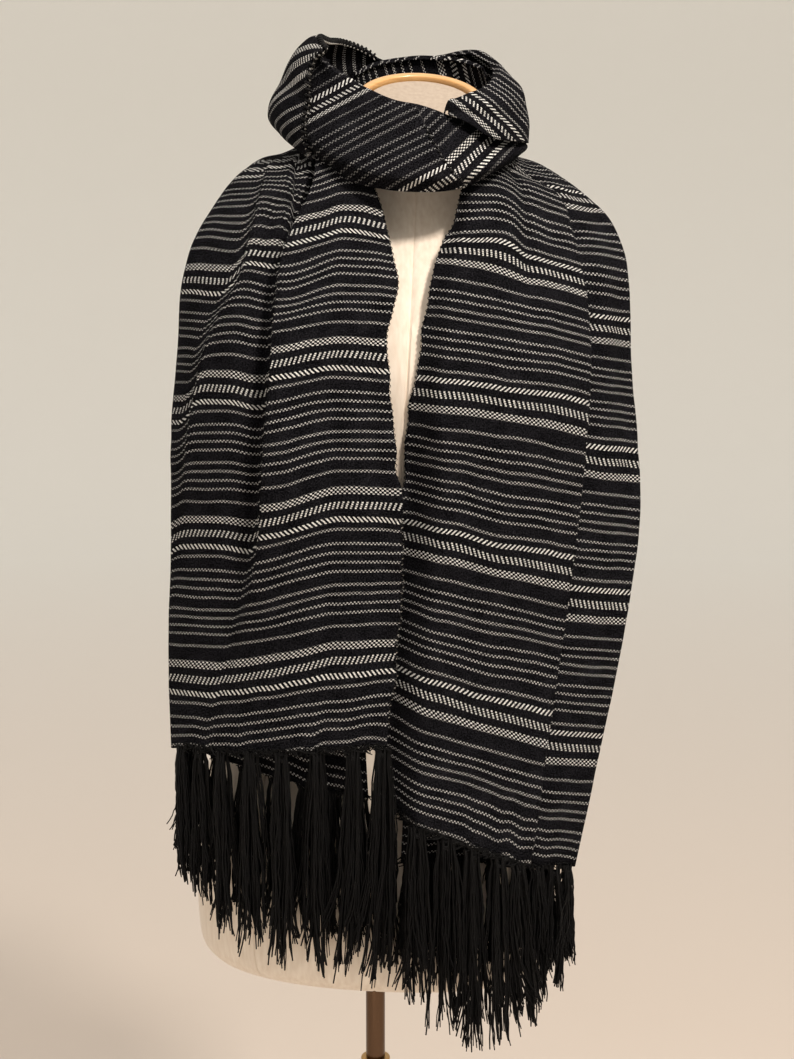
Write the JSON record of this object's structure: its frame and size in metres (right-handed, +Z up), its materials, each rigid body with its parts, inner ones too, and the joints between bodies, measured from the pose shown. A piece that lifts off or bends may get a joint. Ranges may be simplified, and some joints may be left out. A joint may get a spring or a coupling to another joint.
{
  "type": "wrapped scarf on a dress form",
  "caption": "Long fringed striped scarf folded lengthwise, wound round the neck of a limbless dress form on a pole stand, both ends hanging in front.",
  "frame": {"origin": "centre of the underside of the round base, which stands on the floor", "axes": "+Z up along the pole, -Y towards the viewer and the front of the form, +X the viewer's right"},
  "size_m": [0.4186, 0.35, 1.5494],
  "materials": {
    "scarf_cloth": "black handwoven cotton with white weft stripes",
    "scarf_fringe": "black twisted cotton yarn in knotted tassels",
    "form_linen": "natural linen",
    "neck_wood": "clear varnished beech",
    "stand_metal": "bronzed steel",
    "stand_brass": "brushed brass"
  },
  "bodies": {
    "root": {"base": "stand_metal", "pole_lower": "stand_metal", "pole_upper": "stand_metal", "pole_collar": "stand_brass", "form_body": "form_linen", "neck_disc": "form_linen", "neck_ring": "neck_wood", "tail_left": "scarf_cloth", "tail_right_front": "scarf_cloth", "tail_right_under": "scarf_cloth", "collar_front": "scarf_cloth", "collar_left": "scarf_cloth", "collar_right": "scarf_cloth", "collar_back": "scarf_cloth", "fringe_left": "scarf_fringe", "fringe_left_back": "scarf_fringe", "fringe_right": "scarf_fringe", "fringe_right_side": "scarf_fringe", "fringe_right_back": "scarf_fringe"}
  },
  "joints": []
}
